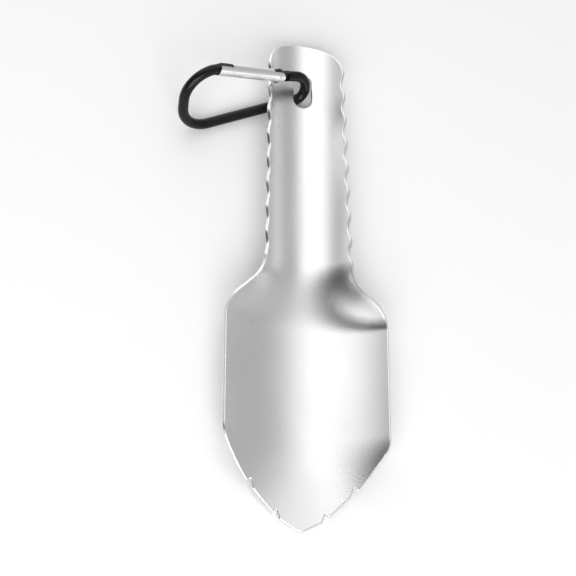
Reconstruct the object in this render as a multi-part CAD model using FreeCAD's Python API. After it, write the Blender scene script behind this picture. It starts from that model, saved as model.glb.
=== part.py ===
import FreeCAD, Part
import math
import os

"""A detecting shovel pressed from one sheet of stainless steel, with a small
D-shaped carabiner through the slot in its handle.

The shovel lies on its rounded back, hollow side up, with the carabiner's spine
under its handle.  The origin is on the surface they lie on, under the middle of
the box round them both.  +X is across the blade, +Y runs from the tip to the
handle end, and +Z is up.

While the shovel is being made, x is measured from its middle, y from its tip,
and z from the hollow side of the blade's floor.
"""

V = FreeCAD.Vector
V2 = FreeCAD.Base.Vector2d

# ---------------------------------------------------------------- the pressed sheet
sheet = 1.5                    # thickness of the steel
blade_half = 32.3              # half the flat width of the blade
blade_radius = 48.5            # radius of the trough across the blade
tip_radius = 160.0             # the trough opens out to this at the tip
handle_radius = 17.7           # radius of the trough of the handle

# Places along the shovel, from the tip.
flatten_from = 35.0            # the trough starts to open out here, towards the tip
press_from = 76.0              # the step up to the handle starts here
press_to = 102.0               # ... and ends here
total_length = 197.4           # tip to handle end
end_rise = 13.9                # the handle goes on this far past its last scallop's crest
slot_from_end = 20.85          # middle of the slot to handle end

# ---------------------------------------------------------------- the flat outline
point_round = 3.0              # the end of the point
tooth_1 = (10.3, 6.2)          # lower saw tooth: its sharp end, across and along
tooth_2 = (20.3, 16.0)         # upper saw tooth
tooth_root = (-1.45, 1.15)     # from a tooth's end to the bottom of its notch
tooth_step = (-2.7, -2.4)      # from a tooth's end to where the outline goes on
corner_at = 30.5               # where the blade's side turns in to the point
corner_round = 9.0
shoulder_at = 75.8             # the blade's straight side ends here
shoulder_round = 12.4          # both curves of the shoulder
shoulder_turn = 45.0           # slope of the shoulder, in degrees
neck_half = 19.1               # half the flat width of the handle at its neck
end_half = 16.35               # ... and at its last finger scallop
wave_depth = 1.25              # finger scallops, crest to valley
wave_count = 8
wave_run_out = 1.2             # the scallops go on this far past the last crest
slot_length = 14.3

# ---------------------------------------------------------------- the carabiner
# It is drawn flat, x along its spine and y towards its gate, and then placed.
rod = 3.9                      # thickness of its bar and of its gate
gate_deep = 4.9                # the gate is this deep in the plane of the loop
spine_length = 36.8            # the straight back
small_bend = 4.2               # bends, to the middle of the bar
side_run = 1.27                # straight side between the small bend and the top bend
top_bend = 7.3
hinge_slope = 18.3             # the hinge arm climbs away from the top bend at this angle
neck_run = 4.0                 # from the top bend to the end of the round bar
hinge_run = 8.48               # from the top bend to the rivet
wide_bend = 11.4
wide_run = 3.7                 # straight side between the wide bend and the nose bend
nose_bend = 11.2
nose_stub = 1.5                # from the corner of the nose to its face
nose_gap = 0.3                 # between the gate's end and the nose

gate_open = 20.0               # the gate opens inwards by this, in degrees
tongue = 1.5                   # thickness of the bar's flattened ends
tongue_gap = 0.15              # on each side of a flattened end
paddle = 2.8                   # radius of the flattened end round the rivet
cam_flat = 2.4                 # from the rivet to the flat that the plunger rests on
nose_reach = 5.9               # the nose tongue reaches this far from the nose's face
nose_inner = 0.15              # its edges, from the gate's middle towards the spine
nose_outer = -2.45
nose_bevel = 0.9               # its far outer corner
nose_slant = 2.4               # its near outer corner, along for each mm across
overlap = 0.5                  # flattened ends start this far inside the round bar
rivet = 1.3                    # pin of the rivet
rivet_head = 1.9
rivet_proud = 0.2              # height of each head
rivet_sunk = 0.1               # each head starts this far below the gate's surface
pin_gap = 0.05                 # around the pin, in the flattened end that turns on it
plunger = 1.9
plunger_length = 2.2
plunger_gap = 0.1              # around the plunger, in the gate
plunger_rest = 0.06            # between the plunger and the flat
plunger_ratio = 1.25           # it is pushed in by this much per radian, in mm
spring_wire = 0.3
spring_turns = 7
spring_length = 6.0
spring_gap = 0.05              # around the spring and at its ends

# ---------------------------------------------------------------- fits between the two
slot_clear = 3.0               # the slot is this much wider than the bar
spine_gap = 0.05               # between the spine and the handle's underside
slot_width = rod + slot_clear
slot_at = total_length - slot_from_end
handle_rise = rod + spine_gap  # the handle's floor stands this far above the blade's
lie_y = slot_at - 0.45         # where the small end's lowest corner lies
lie_x = 1.3
lie_yaw = 24.8                 # the spine's direction, from +x towards +y, in degrees
lie_lean = 18.4                # the loop leans from upright towards the handle's end

surface_margin = 3.0           # the sheet's surface is laid out this far past its edges
rows_across = 21               # points of each of its rows
rows_along = 81
wave_points = 8                # points for each scallop


def blend(t):
    """0 below 0, 1 above 1, and a smooth step between."""
    t = min(max(t, 0.0), 1.0)
    return t * t * (3.0 - 2.0 * t)


def trough_radius(y):
    """Radius of the sheet's cross-section at y."""
    bend = 1.0 / blade_radius
    bend += (1.0 / handle_radius - 1.0 / blade_radius) * blend((y - press_from) / (press_to - press_from))
    bend += (1.0 / tip_radius - 1.0 / blade_radius) * blend((flatten_from - y) / flatten_from)
    return 1.0 / bend


def floor_height(y):
    """Height of the bottom of the trough, on its hollow side."""
    return handle_rise * blend((y - press_from) / (press_to - press_from))


def sheet_point(s, y, depth):
    """The point s across the sheet and y along it, depth below its hollow side."""
    def face(y):
        radius = trough_radius(y)
        turn = s / radius
        return V(radius * math.sin(turn), y, floor_height(y) + radius * (1.0 - math.cos(turn)))
    turn = s / trough_radius(y)
    across = V(math.cos(turn), 0.0, math.sin(turn))
    along = face(y + 0.01) - face(y - 0.01)
    down = along.cross(across).normalize()
    return face(y) + down * depth


def spline_through(points, params):
    curve = Part.BSplineCurve()
    curve.interpolate(Points=points, Parameters=params)
    return curve


def sheet_surface(depth):
    """A spline surface whose own parameters are s across and y along the sheet."""
    wide = blade_half + surface_margin
    across = [wide * (2.0 * i / (rows_across - 1) - 1.0) for i in range(rows_across)]
    step = (total_length + 2.0 * surface_margin) / (rows_along - 1)
    along = [-surface_margin + step * j for j in range(rows_along)]
    rows = [spline_through([sheet_point(s, y, depth) for s in across], across) for y in along]
    columns = [spline_through(list(column), along) for column in zip(*[row.getPoles() for row in rows])]
    net = [column.getPoles() for column in columns]
    surface = Part.BSplineSurface()
    surface.buildFromPolesMultsKnots(net, rows[0].getMultiplicities(), columns[0].getMultiplicities(),
                                     rows[0].getKnots(), columns[0].getKnots(), False, False, 3, 3)
    return surface


# ---------------------------------------------------------------- outline curves
def line(a, b):
    return Part.Geom2d.Line2dSegment(V2(*a), V2(*b))


def arc(centre, radius, start, end):
    """An arc from one angle to another, in degrees."""
    turns = [math.radians(t) for t in (start, (start + end) / 2.0, end)]
    spots = [V2(centre[0] + radius * math.cos(t), centre[1] + radius * math.sin(t)) for t in turns]
    return Part.Geom2d.ArcOfCircle2d(*spots)


def handle_half(y):
    """Half the flat width of the handle at y, with its scallops."""
    part = (y - neck_end()) / (total_length - end_rise - neck_end())
    crest = neck_half + (end_half - neck_half) * part
    return crest - wave_depth * (1.0 - math.cos(2.0 * math.pi * part * wave_count)) / 2.0


def neck_end():
    """Where the shoulder's hollow curve meets the handle's first crest."""
    turn = math.radians(shoulder_turn)
    sweep = 2.0 * shoulder_round * math.sin(turn)
    drop = 2.0 * shoulder_round * (1.0 - math.cos(turn))
    return shoulder_at + sweep + (blade_half - neck_half - drop) / math.tan(turn)


def half_outline():
    """The right half of the flat outline, from the point to the handle end."""
    curves = []

    # The point and the two saw teeth, which hook back towards the handle.
    step_1 = (tooth_1[0] + tooth_step[0], tooth_1[1] + tooth_step[1])
    slope = math.degrees(math.atan2(step_1[1], step_1[0]))
    for _ in range(20):
        turn = math.radians(slope)
        touch = (point_round * math.sin(turn), point_round * (1.0 - math.cos(turn)))
        slope = math.degrees(math.atan2(step_1[1] - touch[1], step_1[0] - touch[0]))
    curves.append(arc((0.0, point_round), point_round, -90.0, slope - 90.0))
    start = touch
    for tooth in (tooth_1, tooth_2):
        step = (tooth[0] + tooth_step[0], tooth[1] + tooth_step[1])
        root = (tooth[0] + tooth_root[0], tooth[1] + tooth_root[1])
        curves += [line(start, step), line(step, root), line(root, tooth)]
        start = tooth

    # The rounded corner of the blade, and its straight side.
    turn = math.atan2(blade_half - tooth_2[0], corner_at - tooth_2[1])
    cut = corner_round * math.tan(turn / 2.0)
    lower = (blade_half - cut * math.sin(turn), corner_at - cut * math.cos(turn))
    centre = (blade_half - corner_round, corner_at + cut)
    curves.append(line(start, lower))
    curves.append(arc(centre, corner_round, -math.degrees(turn), 0.0))
    curves.append(line((blade_half, corner_at + cut), (blade_half, shoulder_at)))

    # The shoulder: a round curve out, a straight slope and a hollow curve in.
    turn = math.radians(shoulder_turn)
    out = (blade_half - shoulder_round, shoulder_at)
    hollow = (neck_half + shoulder_round, neck_end())
    slope_from = (out[0] + shoulder_round * math.cos(turn), out[1] + shoulder_round * math.sin(turn))
    slope_to = (hollow[0] - shoulder_round * math.cos(turn), hollow[1] - shoulder_round * math.sin(turn))
    curves.append(arc(out, shoulder_round, 0.0, shoulder_turn))
    curves.append(line(slope_from, slope_to))
    curves.append(arc(hollow, shoulder_round, 180.0 + shoulder_turn, 180.0))

    # The handle's scallops run out past the last crest into its round end.
    last = total_length - end_rise + wave_run_out
    start = (handle_half(last), last)
    slope = (handle_half(last + 0.01) - handle_half(last - 0.01)) / 0.02
    count = wave_count * wave_points
    along = [neck_end() + (last - neck_end()) * i / count for i in range(count + 1)]
    wave = Part.Geom2d.BSplineCurve2d()
    wave.interpolate(Points=[V2(handle_half(y), y) for y in along], InitialTangent=V2(0.0, 1.0),
                     FinalTangent=V2(slope, 1.0))
    curves.append(wave)
    rise = total_length - start[1]
    radius = (start[0] ** 2 + rise ** 2) / (2.0 * rise)
    centre = (0.0, total_length - radius)
    curves.append(arc(centre, radius, math.degrees(math.atan2(start[1] - centre[1], start[0])), 90.0))
    return curves


def mirrored(curve):
    """The same curve on the left side, run the other way."""
    copy = curve.copy()
    copy.mirror(V2(0.0, 0.0), V2(0.0, 1.0))
    return copy


def slot_outline():
    radius = slot_width / 2.0
    low = slot_at - slot_length / 2.0 + radius
    high = slot_at + slot_length / 2.0 - radius
    return [line((radius, low), (radius, high)), arc((0.0, high), radius, 0.0, 180.0),
            line((-radius, high), (-radius, low)), arc((0.0, low), radius, 180.0, 360.0)]


def shovel_plate():
    """The pressed sheet: two faces cut by the same outline, and the walls between them."""
    right = half_outline()
    outline = right + [mirrored(curve) for curve in reversed(right)]
    slot = slot_outline()
    faces = []
    rims = []
    for depth in (0.0, sheet):
        surface = sheet_surface(depth)
        rim = [curve.toShape(surface) for curve in outline]
        hole = [curve.toShape(surface) for curve in slot]
        whole = Part.Face(surface, Part.Wire(rim))
        faces += whole.cut(Part.Face(surface, Part.Wire(hole))).Faces
        rims.append(rim + hole)
    walls = [Part.makeRuledSurface(upper, lower) for upper, lower in zip(*rims)]
    skin = Part.makeCompound(faces + walls)
    skin.sewShape()
    solid = Part.Solid(skin.Shells[0])
    if solid.Volume < 0.0:
        solid.reverse()
    return solid


# ---------------------------------------------------------------- the carabiner's pieces
def polar(degrees):
    turn = math.radians(degrees)
    return V(math.cos(turn), math.sin(turn), 0.0)


hinge_way = polar(180.0 - hinge_slope)         # along the hinge arm, from the top bend
top_centre = V(-top_bend, small_bend + side_run, 0.0)
last_bend = top_centre + polar(90.0 - hinge_slope) * top_bend
hinge_at = last_bend + hinge_way * hinge_run
wide_centre = V(-small_bend - spine_length, wide_bend, 0.0)
wide_side = wide_centre - V(wide_bend, 0.0, 0.0)
nose_centre = wide_side + V(nose_bend, wide_run, 0.0)
nose_corner = nose_centre + V(0.0, nose_bend, 0.0)
gate_out = (gate_deep - rod) / 2.0             # the gate's middle lies outside the nose's by this
gate_way = (nose_corner + V(0.0, gate_out, 0.0) - hinge_at).normalize()    # from hinge to nose
gate_in = V(-gate_way.y, gate_way.x, 0.0)      # square to it, towards the spine
corner_run = (nose_corner - hinge_at).dot(gate_way)
nose_run = corner_run - nose_stub              # from the rivet to the nose's face


def bar(start, end, size):
    run = end - start
    return Part.makeCylinder(size / 2.0, run.Length, start, run)


def bent_bar(centre, radius, start, end):
    """The bar turned round a bend, from one angle to another, in degrees."""
    ring = Part.Wire(Part.makeCircle(rod / 2.0, centre + polar(start) * radius, polar(start + 90.0)))
    return Part.Face(ring).revolve(centre, V(0.0, 0.0, 1.0), end - start)


def rectangle(start, end, outer, inner):
    return [(start, outer), (end, outer), (end, inner), (start, inner)]


def flat_piece(start, way, outline, thick):
    """A flat piece.  Its corners are given along the way from start, and towards the spine."""
    inwards = V(-way.y, way.x, 0.0)
    corners = [start + way * run + inwards * aside - V(0.0, 0.0, thick / 2.0) for run, aside in outline]
    return Part.Face(Part.makePolygon(corners + corners[:1])).extrude(V(0.0, 0.0, thick))


def upright(radius, height):
    """A round piece on the rivet's line."""
    return Part.makeCylinder(radius, height, hinge_at - V(0.0, 0.0, height / 2.0))


def hinge_paddle():
    """The bar's end, pressed flat round the rivet, with a flat that holds the gate shut."""
    neck = rectangle(neck_run - overlap, hinge_run, -rod / 2.0, rod / 2.0)
    beyond = rectangle(cam_flat, 2.0 * paddle, -rod, rod)
    disc = upright(paddle, tongue).cut(flat_piece(hinge_at, gate_way, beyond, rod))
    return disc.fuse(flat_piece(last_bend, hinge_way, neck, tongue))


def nose_knee():
    """The rounded corner of the nose, cut flat at the nose's face."""
    before = flat_piece(hinge_at, gate_way, rectangle(0.0, nose_run, -gate_deep, gate_deep), 2.0 * rod)
    return Part.makeSphere(rod / 2.0, nose_corner).cut(before)


def nose_tongue():
    """The flat tongue on the nose, which goes on in line with the arm's outer side."""
    tip = nose_run - nose_reach
    arm = gate_out - rod / 2.0
    outline = [(corner_run, nose_inner), (tip, nose_inner), (tip, nose_outer + nose_bevel),
               (tip + nose_bevel, nose_outer), (corner_run - nose_slant * (arm - nose_outer), nose_outer),
               (corner_run, arm)]
    return flat_piece(hinge_at, gate_way, outline, tongue)


def carabiner_body():
    spine_end = V(-small_bend, 0.0, 0.0)
    side = V(0.0, small_bend, 0.0)
    pieces = [
        bar(spine_end - V(spine_length, 0.0, 0.0), spine_end, rod),
        bent_bar(V(-small_bend, small_bend, 0.0), small_bend, 270.0, 360.0),
        bar(side, side + V(0.0, side_run, 0.0), rod),
        bent_bar(top_centre, top_bend, 0.0, 90.0 - hinge_slope),
        bar(last_bend, last_bend + hinge_way * neck_run, rod),
        bent_bar(wide_centre, wide_bend, 180.0, 270.0),
        bar(wide_side, wide_side + V(0.0, wide_run, 0.0), rod),
        bent_bar(nose_centre, nose_bend, 90.0, 180.0),
        nose_knee(),
        bar(nose_corner - gate_way * nose_stub, nose_corner, rod),
        hinge_paddle(),
        nose_tongue(),
    ]
    body = pieces[0]
    for piece in pieces[1:]:
        body = body.fuse(piece)
    return body.removeSplitter().cut(upright(rivet / 2.0 + pin_gap, rod))


def spring_seat():
    """Distances from the rivet to the plunger's face, the spring's start and the bore's end."""
    face = cam_flat + plunger_rest
    return face, face + plunger_length, face + plunger_length + spring_length


def gate_bar(start, end):
    """A length of the gate's section: round above and below, with flat sides between."""
    half = rod / 2.0
    middle = hinge_at + gate_way * start

    def spot(aside, up):
        return middle + gate_in * aside + V(0.0, 0.0, up)

    edges = [
        Part.makeLine(spot(-gate_out, half), spot(gate_out, half)),
        Part.Arc(spot(gate_out, half), spot(gate_deep / 2.0, 0.0), spot(gate_out, -half)).toShape(),
        Part.makeLine(spot(gate_out, -half), spot(-gate_out, -half)),
        Part.Arc(spot(-gate_out, -half), spot(-gate_deep / 2.0, 0.0), spot(-gate_out, half)).toShape(),
    ]
    return Part.Face(Part.Wire(edges)).extrude(gate_way * (end - start))


def carabiner_gate():
    end = nose_run - nose_gap
    heel = gate_deep / 2.0
    round_heel = gate_bar(-heel, 0.0).common(upright(heel, 2.0 * rod))
    slot = tongue + 2.0 * tongue_gap
    clevis = rectangle(-2.0 * heel, paddle + tongue_gap, -gate_deep, gate_deep)
    keeper = rectangle(nose_run - nose_reach - nose_gap, end + rod, -gate_deep, nose_inner + tongue_gap)
    cuts = [
        flat_piece(hinge_at, gate_way, clevis, slot),
        flat_piece(hinge_at, gate_way, keeper, slot),
        bar(hinge_at, hinge_at + gate_way * spring_seat()[2], plunger + 2.0 * plunger_gap),
        upright(rivet / 2.0, rod),
    ]
    return gate_bar(0.0, end).fuse(round_heel).removeSplitter().cut(Part.makeCompound(cuts))


def gate_rivet():
    """A pin through the gate's cheeks, with a low domed head on each side."""
    top = rod / 2.0 + rivet_proud
    seat = rod / 2.0 - rivet_sunk
    profile = [V(0.0, 0.0, -top), V(rivet_head / 3.0, 0.0, -top), V(rivet_head / 2.0, 0.0, -seat),
               V(rivet / 2.0, 0.0, -seat), V(rivet / 2.0, 0.0, seat), V(rivet_head / 2.0, 0.0, seat),
               V(rivet_head / 3.0, 0.0, top), V(0.0, 0.0, top)]
    turned = Part.Face(Part.makePolygon(profile + profile[:1])).revolve(V(), V(0.0, 0.0, 1.0), 360.0)
    turned.translate(hinge_at)
    return turned


def spring_plunger():
    face, back, _ = spring_seat()
    return bar(hinge_at + gate_way * face, hinge_at + gate_way * back, plunger)


def gate_spring():
    """A small compression spring in the gate's bore, behind the plunger."""
    _, back, end = spring_seat()
    room = end - back - spring_wire - 2.0 * spring_gap
    radius = (plunger - spring_wire) / 2.0 - spring_gap
    helix = Part.makeHelix(room / spring_turns, room, radius)
    ring = Part.Wire(Part.makeCircle(spring_wire / 2.0, V(radius, 0.0, 0.0), V(0.0, 1.0, 0.0)))
    coil = Part.Wire(helix.Edges).makePipeShell([ring], True, True)
    spot = hinge_at + gate_way * (back + spring_wire / 2.0 + spring_gap)
    coil.Placement = FreeCAD.Placement(spot, FreeCAD.Rotation(V(0.0, 0.0, 1.0), gate_way))
    return coil


# ---------------------------------------------------------------- placing and saving
lie_turn = FreeCAD.Rotation(V(0.0, 0.0, 1.0), lie_yaw)
lie_turn = lie_turn.multiply(FreeCAD.Rotation(V(1.0, 0.0, 0.0), 90.0 - lie_lean))
lie = FreeCAD.Placement(V(lie_x, lie_y, rod / 2.0 - sheet), lie_turn)


def threaded(shape):
    """The carabiner's pieces, drawn flat, go through the slot with the spine on the surface below."""
    shape.Placement = lie.multiply(shape.Placement)
    return shape


nodes = {
    "shovel_plate": shovel_plate(),
    "carabiner_body": threaded(carabiner_body()),
    "carabiner_gate": threaded(carabiner_gate()),
    "gate_rivet": threaded(gate_rivet()),
    "spring_plunger": threaded(spring_plunger()),
    "gate_spring": threaded(gate_spring()),
}

blade_edge = (blade_radius + sheet) * math.sin(blade_half / blade_radius)
loop_edge = min(point.x for point in nodes["carabiner_body"].tessellate(0.02)[0])
to_origin = V(-(blade_edge + loop_edge) / 2.0, -total_length / 2.0, sheet)

os.makedirs("parts", exist_ok=True)
for name, shape in nodes.items():
    shape.translate(to_origin)
    print(name, len(shape.Solids), "solid,", round(shape.Volume, 1), "mm3, valid", shape.isValid())
    shape.exportStep("parts/" + name + ".step")
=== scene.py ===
# %% [markdown]
# # A detecting shovel and its carabiner
#
# The shovel is one sheet of stainless steel, pressed into a trough and blasted to a satin grain.
# A small black carabiner with a bright gate goes through the slot in its handle.
# This lesson loads the engineer's model as a fixed frame, builds the visible surfaces round it,
# and then gives each of them a finish and some soft light.

# %% The tools and the frame
import math

import bpy
import numpy as np
from mathutils import Matrix, Vector


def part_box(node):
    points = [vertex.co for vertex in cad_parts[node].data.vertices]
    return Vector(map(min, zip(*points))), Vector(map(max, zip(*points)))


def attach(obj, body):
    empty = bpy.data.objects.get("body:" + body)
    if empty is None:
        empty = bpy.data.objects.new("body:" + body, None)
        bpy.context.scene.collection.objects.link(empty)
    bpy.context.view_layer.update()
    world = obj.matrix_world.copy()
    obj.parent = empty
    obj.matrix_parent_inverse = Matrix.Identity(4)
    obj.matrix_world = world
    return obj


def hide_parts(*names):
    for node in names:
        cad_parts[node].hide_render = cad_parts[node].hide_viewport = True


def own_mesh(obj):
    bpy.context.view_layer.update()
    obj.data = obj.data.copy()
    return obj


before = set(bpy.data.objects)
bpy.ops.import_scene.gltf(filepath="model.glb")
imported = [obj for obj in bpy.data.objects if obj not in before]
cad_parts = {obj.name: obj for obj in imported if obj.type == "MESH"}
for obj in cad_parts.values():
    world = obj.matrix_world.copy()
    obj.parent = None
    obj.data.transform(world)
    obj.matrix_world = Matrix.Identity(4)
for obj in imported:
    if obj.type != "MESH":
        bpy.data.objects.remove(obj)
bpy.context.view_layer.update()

# %% [markdown]
# Everything in Blender is in metres, and a maker thinks in millimetres.
# The sizes of the pressed sheet are kept in millimetres, and points are turned to metres at the end.
# The shovel lies with its tip towards -Y and its hollow side up, so its place follows from
# the box of its CAD node.

# %% Sizes of the pressed sheet, in millimetres
MM = 0.001

SHEET = 1.5                      # thickness
BLADE_HALF = 32.3                # half the flat width of the blade
BLADE_RADIUS = 48.5              # the trough across the blade
TIP_RADIUS = 160.0               # it opens out to this at the tip
HANDLE_RADIUS = 17.7             # the trough of the handle
HANDLE_RISE = 3.95               # the handle's floor above the blade's
FLATTEN_FROM = 35.0
PRESS_FROM, PRESS_TO = 76.0, 102.0
LENGTH = 197.4

low_corner, high_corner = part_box("shovel_plate")
PLATE_MIDDLE = (low_corner.x + high_corner.x) / 2 / MM
PLATE_TIP = low_corner.y / MM
PLATE_FLOOR = low_corner.z / MM + SHEET
print(f"plate middle x {PLATE_MIDDLE:.2f}, tip y {PLATE_TIP:.2f}, floor z {PLATE_FLOOR:.2f} mm")

# %% [markdown]
# A press bends a sheet without stretching it much, so a point of the flat blank keeps its distance
# s from the middle line, now measured along an arc.
# The whole shovel is then one formula: the arc's bend changes along the length, from a nearly flat tip
# through the bowl to the tight trough of the handle, and the floor steps up at the neck.
# A function of two parameters such as this is easier to keep exact than a sculpted mesh.

# %% The pressed sheet as a formula
def smooth_step(t):
    """0 below 0, 1 above 1, and 3t^2 - 2t^3 between, which starts and ends level."""
    t = np.clip(t, 0.0, 1.0)
    return t * t * (3.0 - 2.0 * t)


def trough_radius(y):
    """Radius of the trough at y. Its inverse, the bend, goes from one value to the next in smooth steps."""
    bend = 1.0 / BLADE_RADIUS
    handle = smooth_step((y - PRESS_FROM) / (PRESS_TO - PRESS_FROM))
    tip = smooth_step((FLATTEN_FROM - y) / FLATTEN_FROM)
    bend = bend + (1.0 / HANDLE_RADIUS - bend) * handle + (1.0 / TIP_RADIUS - 1.0 / BLADE_RADIUS) * tip
    return 1.0 / bend


def hollow_side(s, y):
    """A point of the hollow side: an arc of length s from the middle, standing on the floor's height at y."""
    radius = trough_radius(y)
    floor = HANDLE_RISE * smooth_step((y - PRESS_FROM) / (PRESS_TO - PRESS_FROM))
    turn = s / radius
    return np.stack([radius * np.sin(turn), y, floor + radius * (1.0 - np.cos(turn))], axis=-1)


def sheet_point(s, y, depth):
    """A point depth below the hollow side, square to it: the cross product of the two directions along it."""
    small = 0.01
    across = hollow_side(s + small, y) - hollow_side(s - small, y)
    along = hollow_side(s, y + small) - hollow_side(s, y - small)
    down = np.cross(along, across)
    down /= np.linalg.norm(down, axis=-1, keepdims=True)
    point = hollow_side(s, y) + down * np.asarray(depth)[..., None]
    return (point + np.array([PLATE_MIDDLE, PLATE_TIP, PLATE_FLOOR])) * MM


print("middle of the bowl:", np.round(sheet_point(np.array(0.0), np.array(55.0), np.array(0.0)), 4))

# %% [markdown]
# The blank is cut before it is pressed, so its outline is flat, with lines and arcs.
# Half of it is a polygon whose corners are rounded by arcs, and the handle's finger scallops are a cosine.
# The two saw teeth on each side hook back towards the handle.

# %% The flat outline
POINT_ROUND = 3.0
TOOTH_STEP = (-2.7, -2.4)        # from a tooth's end to where its notch starts
TOOTH_ROOT = (-1.45, 1.15)       # from a tooth's end to the bottom of its notch
TEETH = [(10.3, 6.2), (20.3, 16.0)]
CORNER = (BLADE_HALF, 30.5, 9.0)
SHOULDER_FROM, SHOULDER_ROUND = 75.8, 12.4
NECK_HALF, END_HALF = 19.1, 16.35
WAVE_DEPTH, WAVES = 1.25, 8
LAST_CREST = LENGTH - 13.9
RUN_OUT = 1.2                    # the scallops go on this far past the last crest

shoulder_cut = SHOULDER_ROUND * math.tan(math.radians(45.0) / 2)
slope_run = BLADE_HALF - NECK_HALF
NECK_AT = SHOULDER_FROM + 2 * shoulder_cut + slope_run


def rounded_corner(before, corner, after, radius, step=0.25):
    """The arc that touches both lines at a corner: it starts radius * tan(turn / 2) before it."""
    before, corner, after = (np.array(p[:2], float) for p in (before, corner, after))
    into = (corner - before) / np.linalg.norm(corner - before)
    out = (after - corner) / np.linalg.norm(after - corner)
    turn = math.atan2(into[0] * out[1] - into[1] * out[0], into @ out)
    cut = radius * math.tan(abs(turn) / 2)
    side = np.array([-into[1], into[0]]) * math.copysign(1.0, turn)
    centre = corner - into * cut + side * radius
    count = 2 * max(3, int(radius * abs(turn) / step / 2))
    angle = np.linspace(0.0, abs(turn), count + 1)[:, None]
    return centre - side * radius * np.cos(angle) + into * radius * np.sin(angle)


def handle_half(y):
    """Half the flat width of the handle: a straight taper between the crests, less a cosine wave."""
    part = (y - NECK_AT) / (LAST_CREST - NECK_AT)
    crest = NECK_HALF + (END_HALF - NECK_HALF) * part
    return crest - WAVE_DEPTH * (1.0 - np.cos(2 * np.pi * part * WAVES)) / 2


def even_steps(points, step):
    """The same line with points at even distances no more than step apart on each straight run."""
    runs = []
    for start, end in zip(points[:-1], points[1:]):
        count = max(1, int(np.ceil(np.linalg.norm(end - start) / step)))
        runs.append(start + (end - start) * np.linspace(0.0, 1.0, count, endpoint=False)[:, None])
    return np.concatenate(runs + [points[-1:]])


def half_outline():
    """The right half of the outline, from the point of the blade to the middle of the handle's end."""
    first = np.add(TEETH[0], TOOTH_STEP)
    reach = math.hypot(first[0], first[1] - POINT_ROUND)
    slope = math.asin(POINT_ROUND / reach) - math.atan2(POINT_ROUND - first[1], first[0])
    apex = (0.0, first[1] - first[0] * math.tan(slope))
    corners = [(-first[0], first[1], 0.0), (*apex, POINT_ROUND)]
    for tooth in TEETH:
        corners += [(*np.add(tooth, TOOTH_STEP), 0.6), (*np.add(tooth, TOOTH_ROOT), 0.35), (*tooth, 0.45)]
    corners += [CORNER, (BLADE_HALF, SHOULDER_FROM + shoulder_cut, SHOULDER_ROUND),
                (NECK_HALF, NECK_AT - shoulder_cut, SHOULDER_ROUND), (NECK_HALF, NECK_AT + 10.0, 0.0)]
    arcs = [rounded_corner(a, b, c, b[2]) for a, b, c in zip(corners, corners[1:], corners[2:])]
    outline = np.concatenate(arcs)
    last = LAST_CREST + RUN_OUT
    y = np.linspace(NECK_AT, last, 260)[1:]
    waves = np.stack([handle_half(y), y], axis=1)
    rise = LENGTH - last
    radius = (waves[-1, 0] ** 2 + rise ** 2) / (2 * rise)
    start = math.atan2(last - (LENGTH - radius), waves[-1, 0])
    angle = np.linspace(start, math.pi / 2, 70)[1:]
    end = np.stack([radius * np.cos(angle), LENGTH - radius + radius * np.sin(angle)], axis=1)
    outline = np.concatenate([outline[outline[:, 0] > -1e-9], waves, end])
    outline[0, 0] = outline[-1, 0] = 0.0
    return even_steps(outline, 0.6)


right_side = half_outline()
print("half outline:", len(right_side), "points, from", right_side[0].round(3), "to", right_side[-1].round(3))

# %% [markdown]
# The plate is a grid: one parameter runs round the outline, the other from the middle of the plate to its rim.
# The middle line opens to go round the slot, so the same grid makes the slot.
# Near the tip its lines climb towards the middle at the angle of the teeth, which keeps them inside the hooks.
# A third set of rows carries the rim's round profile along the outline, because the real edge is deburred.

# %% A grid from the rim to the middle
SLOT_AT, SLOT_WIDTH, SLOT_LENGTH = 176.55, 6.9, 14.3
EDGE_ROUND = 0.45                # the deburred edge
TIP_MARGIN = 5.0                 # the middle line starts this far from the tip
END_MARGIN = 7.0


def slot_half(count, grow):
    """The right half of the slot's outline made larger by grow, from its bottom up: an arc, a line, an arc."""
    radius = SLOT_WIDTH / 2 + grow
    straight = SLOT_LENGTH - SLOT_WIDTH
    quarter = math.pi / 2
    travel = np.linspace(0.0, straight + 2 * quarter * radius, count)
    up = np.clip(travel - quarter * radius, 0.0, straight)
    angle = np.clip((travel - up) / radius, 0.0, 2 * quarter)
    return np.stack([radius * np.sin(angle), SLOT_AT - straight / 2 + up - radius * np.cos(angle)], axis=1)


def middle_line(outline):
    """For each point of the right outline, its partner on the middle line, or on the slot's edge beside it."""
    x, y = outline.T
    fade = 1.0 - np.clip((y - TEETH[1][1]) / (PRESS_TO - TEETH[1][1]), 0.0, 1.0)
    climb = y + 0.95 * np.minimum(x, TEETH[1][0]) * fade
    climb = climb + TIP_MARGIN * smooth_step(1.0 - climb / (4 * TIP_MARGIN))
    slot_low = SLOT_AT - SLOT_LENGTH / 2 - EDGE_ROUND
    slot_high = SLOT_AT + SLOT_LENGTH / 2 + EDGE_ROUND
    below = int((climb < slot_low - 0.3).sum())
    beside = int((climb < slot_high).sum()) - below
    above = len(climb) - below - beside
    rest = np.linspace(slot_high, LENGTH - END_MARGIN, above + 1)[1:]
    line_low = np.stack([np.zeros(below), climb[:below]], axis=1)
    line_high = np.stack([np.zeros(above), rest], axis=1)
    return np.concatenate([line_low, slot_half(beside, EDGE_ROUND), line_high]), (below, beside)


def closed_loop(right):
    """The right half and its mirror image, run back down, as one loop."""
    left = right[-2:0:-1] * np.array([-1.0, 1.0])
    return np.concatenate([right, left])


def inward(loop):
    """The inward direction at each point: its neighbours' line turned a quarter turn to the left."""
    along = np.roll(loop, -1, axis=0) - np.roll(loop, 1, axis=0)
    side = np.stack([-along[:, 1], along[:, 0]], axis=1)
    return side / np.linalg.norm(side, axis=1, keepdims=True)


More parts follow.
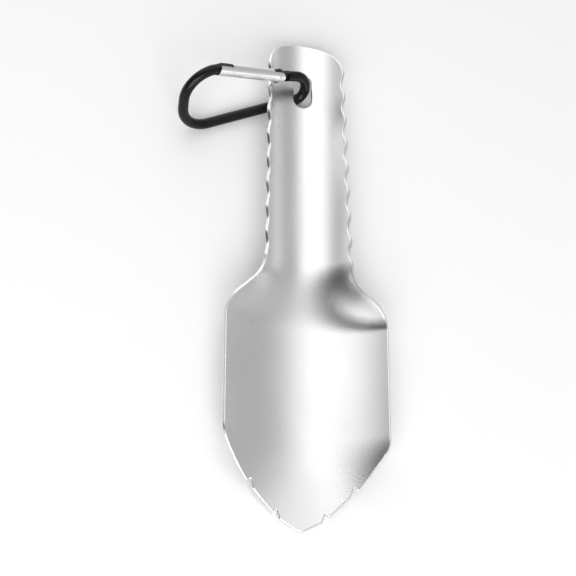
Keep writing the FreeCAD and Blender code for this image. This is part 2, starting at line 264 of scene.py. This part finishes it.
def rim_profile(steps=6):
    """Distances in from the edge and down from the hollow side: a quarter circle, a wall, a quarter circle."""
    angle = np.linspace(0.0, math.pi / 2, steps + 1)
    upper = np.stack([EDGE_ROUND * (1 - np.sin(angle)), EDGE_ROUND * (1 - np.cos(angle))], axis=1)
    lower = upper[::-1] * np.array([1.0, -1.0]) + np.array([0.0, SHEET])
    return np.concatenate([upper, lower])


rim_loop = closed_loop(right_side)
middle_right, slot_span = middle_line(right_side)
middle_loop = closed_loop(middle_right)
print("grid columns:", len(rim_loop), "slot points each side:", slot_span[1])

# %% [markdown]
# Rows of the grid are spaced by a quarter of a sine, so they close up towards the rim.
# Small cells beside the rounded edge stop its shading from spreading over the flat of the sheet.
# Points that two strips share are welded by their rounded places, and the faces then point outwards.

# %% Mesh helpers
def grid_quads(rows, columns, wrap):
    """Index quads of a grid laid out row by row. With wrap, its last column joins the first."""
    row = np.arange(rows - 1)[:, None]
    column = np.arange(columns if wrap else columns - 1)[None, :]
    after = (column + 1) % columns
    corners = [row * columns + column, (row + 1) * columns + column,
               (row + 1) * columns + after, row * columns + after]
    return np.stack([np.broadcast_to(c, (rows - 1, column.shape[1])) for c in corners], axis=-1).reshape(-1, 4)


def welded(points, quads, distance=2e-7):
    """Merges points closer than distance, and renumbers the quads' corners to the merged points."""
    keys = np.round(points / distance).astype(np.int64)
    _, first, same = np.unique(keys, axis=0, return_index=True, return_inverse=True)
    return points[first], same.reshape(-1)[quads]


def new_piece(name, points, quads, material, body, slot, *nodes):
    """A smooth-shaded mesh object at the origin that rides on a body and stands for CAD nodes."""
    mesh = bpy.data.meshes.new(name)
    mesh.from_pydata(points.tolist(), [], [list(dict.fromkeys(q)) for q in quads.tolist()])
    mesh.shade_smooth()
    mesh.materials.append(material)
    piece = bpy.data.objects.new(name, mesh)
    bpy.context.scene.collection.objects.link(piece)
    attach(piece, body)
    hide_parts(*nodes)
    print(name, "has", len(mesh.vertices), "vertices and", len(mesh.polygons), "faces")
    return piece


print("quads in a closed grid of 3 rows and 4 columns:", len(grid_quads(3, 4, wrap=True)))

# %% [markdown]
# Blasting leaves thousands of tiny overlapping dents. Seen from arm's length they blur what the steel reflects,
# and where light meets dark they show as a fine sparkle.
# Two noises, a fine one and a coarser one, push the shading normal about, and a broad cloudy one makes
# the roughness a little uneven, as it is where hands and soil have polished the blasting.

# %% Material helpers
def new_material(name):
    material = bpy.data.materials.new(name)
    material.use_nodes = True
    return material, material.node_tree.nodes, material.node_tree.links


def noise(nodes, links, scale, detail):
    """A noise texture on the piece's own coordinates, with about scale bumps to a metre."""
    place = nodes.new("ShaderNodeTexCoord")
    texture = nodes.new("ShaderNodeTexNoise")
    texture.inputs["Scale"].default_value = scale
    texture.inputs["Detail"].default_value = detail
    links.new(place.outputs["Object"], texture.inputs["Vector"])
    return texture.outputs["Fac"]


def ranged(nodes, links, value, low, high, out_low, out_high):
    """Stretches a value from one range to another, and holds it there."""
    node = nodes.new("ShaderNodeMapRange")
    for name, number in zip(("From Min", "From Max", "To Min", "To Max"), (low, high, out_low, out_high)):
        node.inputs[name].default_value = number
    links.new(value, node.inputs["Value"])
    return node.outputs["Result"]


def bump(nodes, links, height, distance, before=None):
    """Turns a height into a tilt of the shading normal. distance is the height in metres."""
    node = nodes.new("ShaderNodeBump")
    node.inputs["Distance"].default_value = distance
    links.new(height, node.inputs["Height"])
    if before is not None:
        links.new(before, node.inputs["Normal"])
    return node.outputs["Normal"]


def blasted_steel():
    material, nodes, links = new_material("blasted_steel")
    shader = nodes["Principled BSDF"]
    shader.inputs["Metallic"].default_value = 1.0
    shader.inputs["Base Color"].default_value = (0.83, 0.83, 0.84, 1.0)
    clouds = noise(nodes, links, 45.0, 3.0)
    links.new(ranged(nodes, links, clouds, 0.0, 1.0, 0.2, 0.38), shader.inputs["Roughness"])
    coarse = bump(nodes, links, noise(nodes, links, 2400.0, 1.0), 0.00004)
    fine = bump(nodes, links, noise(nodes, links, 4800.0, 1.0), 0.000025, coarse)
    links.new(fine, shader.inputs["Normal"])
    return material


steel = blasted_steel()
print("material", steel.name, "with", len(steel.node_tree.nodes), "nodes")

# %% [markdown]
# The plate's skin is now one grid of rows: the hollow side from the middle out, the round rim, and the back
# from the rim in again. The slot's wall is a second, short grid, and the two are welded where they meet.

# %% The shovel plate
def shovel_plate():
    edge = rim_loop + inward(rim_loop) * EDGE_ROUND
    share = np.sin(np.linspace(0.0, math.pi / 2, 25))[:, None, None]
    face = middle_loop + (edge - middle_loop) * share
    profile = rim_profile()
    rim = rim_loop + inward(rim_loop) * profile[1:-1, 0, None, None]
    flat = np.concatenate([face, rim, face[::-1]])
    depth = np.concatenate([np.zeros(len(face)), profile[1:-1, 1], np.full(len(face), SHEET)])
    depth = np.broadcast_to(depth[:, None], flat.shape[:2])
    skin = sheet_point(flat[..., 0], flat[..., 1], depth).reshape(-1, 3)
    quads = grid_quads(*flat.shape[:2], wrap=True)
    below, beside = slot_span
    slot_right = middle_right[below:below + beside]
    slot_loop = closed_loop(slot_right)
    hole = slot_loop + inward(slot_loop) * (EDGE_ROUND - profile[::-1, 0, None, None])
    wall_depth = np.broadcast_to(profile[::-1, 1, None], hole.shape[:2])
    wall = sheet_point(hole[..., 0], hole[..., 1], wall_depth).reshape(-1, 3)
    wall_quads = grid_quads(*hole.shape[:2], wrap=True) + len(skin)
    points, faces = welded(np.concatenate([skin, wall]), np.concatenate([quads, wall_quads]))
    return new_piece("pressed_shovel", points, faces, steel, "shovel", "blasted_steel", "shovel_plate")


plate = shovel_plate()

# %% [markdown]
# The carabiner keeps the engineer's own shapes. Its bar is black anodised aluminium, nearly black with a
# soft gloss. Its gate is bare polished aluminium, and the rivet, the plunger and the spring are steel.

# %% Finishes of the carabiner
def black_anodised():
    material, nodes, links = new_material("black_anodised")
    shader = nodes["Principled BSDF"]
    shader.inputs["Base Color"].default_value = (0.008, 0.008, 0.009, 1.0)
    shader.inputs["Metallic"].default_value = 0.0
    shader.inputs["Specular IOR Level"].default_value = 0.2
    haze = noise(nodes, links, 300.0, 3.0)
    links.new(ranged(nodes, links, haze, 0.0, 1.0, 0.12, 0.28), shader.inputs["Roughness"])
    return material


def bright_aluminium():
    material, nodes, links = new_material("bright_aluminium")
    shader = nodes["Principled BSDF"]
    shader.inputs["Metallic"].default_value = 1.0
    shader.inputs["Base Color"].default_value = (0.86, 0.86, 0.87, 1.0)
    polish = noise(nodes, links, 250.0, 2.0)
    links.new(ranged(nodes, links, polish, 0.0, 1.0, 0.2, 0.3), shader.inputs["Roughness"])
    return material


def plain_steel(name, grey, roughness):
    material, nodes, links = new_material(name)
    shader = nodes["Principled BSDF"]
    shader.inputs["Metallic"].default_value = 1.0
    shader.inputs["Base Color"].default_value = (grey, grey, grey, 1.0)
    turned = noise(nodes, links, 2000.0, 2.0)
    uneven = ranged(nodes, links, turned, 0.3, 0.7, roughness * 0.8, roughness * 1.2)
    links.new(uneven, shader.inputs["Roughness"])
    return material


finishes = {
    "carabiner_body": black_anodised(),
    "carabiner_gate": bright_aluminium(),
    "gate_rivet": plain_steel("rivet_steel", 0.75, 0.2),
    "spring_plunger": plain_steel("plunger_steel", 0.6, 0.3),
    "gate_spring": plain_steel("spring_steel", 0.6, 0.3),
}
for node, material in finishes.items():
    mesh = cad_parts[node].data
    mesh.materials.clear()
    mesh.materials.append(material)
    print(node, "gets", material.name)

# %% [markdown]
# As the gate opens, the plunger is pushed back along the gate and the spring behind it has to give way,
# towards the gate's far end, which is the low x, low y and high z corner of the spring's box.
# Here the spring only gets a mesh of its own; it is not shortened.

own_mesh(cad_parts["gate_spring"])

# %% [markdown]
# The shovel is looked down on from a little to its left, and the camera is rolled so that it stands upright in
# its frame. A long lens from three quarters of a metre keeps the perspective gentle.

# %% The camera
camera_data = bpy.data.cameras.new("camera")
camera_data.sensor_width = 36.0
camera_data.lens = 126.9
camera_data.clip_start = 0.01
camera = bpy.data.objects.new("camera", camera_data)
bpy.context.scene.collection.objects.link(camera)
bpy.context.scene.camera = camera
right = Vector((0.9659, 0.0, 0.2588))
back = Vector((-0.2306, -0.4540, 0.8606))
up = back.cross(right)
stand = (PLATE_MIDDLE * MM - 0.1756, PLATE_TIP * MM - 0.2430, PLATE_FLOOR * MM + 0.6381)
turned = Matrix((right, up, back)).transposed().to_4x4()
camera.matrix_world = Matrix.Translation(stand) @ turned
print("camera at", tuple(round(x, 3) for x in camera.location))

# %% [markdown]
# Blasted metal is only as good as what it reflects, so the studio is written as a brightness for each
# direction. A white wall stands beyond the handle and gives the streak down the trough. It ends softly to the right,
# where the studio is grey. On the left, nearer the camera, it is dark and shades the neck.
# One wide lamp low in front brightens the floor, from where the steel does not mirror it.

# %% Floor, wall and lamps
def softbox(name, place, aim, wide, high, radiance):
    """A rectangular lamp. Its power is its radiance times pi times its area."""
    lamp = bpy.data.lights.new(name, "AREA")
    lamp.shape = "RECTANGLE"
    lamp.size, lamp.size_y = wide, high
    lamp.energy = radiance * math.pi * wide * high
    holder = bpy.data.objects.new(name, lamp)
    holder.location = place
    holder.rotation_mode = "QUATERNION"
    holder.rotation_quaternion = (Vector(aim) - Vector(place)).to_track_quat("-Z", "Y")
    bpy.context.scene.collection.objects.link(holder)
    print(name, "shines", round(lamp.energy, 2), "W")
    return holder


softbox("front_lamp", (-0.3, -1.3, 0.9), (0.0, 0.0, 0.0), 1.6, 1.2, 4.4)

world = bpy.data.worlds.new("studio")
bpy.context.scene.world = world
world.use_nodes = True
w_nodes, w_links = world.node_tree.nodes, world.node_tree.links


def calculated(operation, first, second):
    """One step of arithmetic on two values, each a socket or a number."""
    node = w_nodes.new("ShaderNodeMath")
    node.operation = operation
    for socket, value in zip(node.inputs, (first, second)):
        if isinstance(value, float):
            socket.default_value = value
        else:
            w_links.new(value, socket)
    return node.outputs["Value"]


def soft_step(value, low, high, out_low, out_high):
    """From one level to another between low and high, with soft ends."""
    result = ranged(w_nodes, w_links, value, low, high, out_low, out_high)
    result.node.interpolation_type = "SMOOTHSTEP"
    return result


way = w_nodes.new("ShaderNodeTexCoord")
parts = w_nodes.new("ShaderNodeSeparateXYZ")
w_links.new(way.outputs["Generated"], parts.inputs["Vector"])
across, along = parts.outputs["X"], parts.outputs["Y"]
near = soft_step(across, -0.5, 0.6, 0.01, 0.62)
rise = soft_step(across, -0.75, -0.5, 0.7, 1.42)
fall = soft_step(across, 0.05, 0.6, 0.0, 0.94)
wall = calculated("SUBTRACT", rise, fall)
slanted = calculated("ADD", along, calculated("MULTIPLY", across, 0.3))
beyond = soft_step(slanted, -0.08, 0.25, 0.0, 1.0)
brightness = calculated("ADD", near, calculated("MULTIPLY", beyond, calculated("SUBTRACT", wall, near)))
w_links.new(brightness, w_nodes["Background"].inputs["Strength"])
w_nodes["Background"].inputs["Color"].default_value = (1.0, 1.0, 1.0, 1.0)

floor_mesh = bpy.data.meshes.new("floor")
FLOOR_REACH = 3.0
floor_corners = [(x * FLOOR_REACH, y * FLOOR_REACH, 0.0) for x, y in ((-1, -1), (1, -1), (1, 1), (-1, 1))]
floor_mesh.from_pydata(floor_corners, [], [(0, 1, 2, 3)])
floor_material, floor_nodes, _ = new_material("pale_floor")
floor_nodes["Principled BSDF"].inputs["Base Color"].default_value = (0.93, 0.93, 0.93, 1.0)
floor_nodes["Principled BSDF"].inputs["Roughness"].default_value = 0.8
floor_mesh.materials.append(floor_material)
floor = bpy.data.objects.new("floor", floor_mesh)
bpy.context.scene.collection.objects.link(floor)

bpy.context.scene.view_settings.view_transform = "Standard"
print("floor", 2 * FLOOR_REACH, "m wide, studio with", len(w_nodes), "nodes")
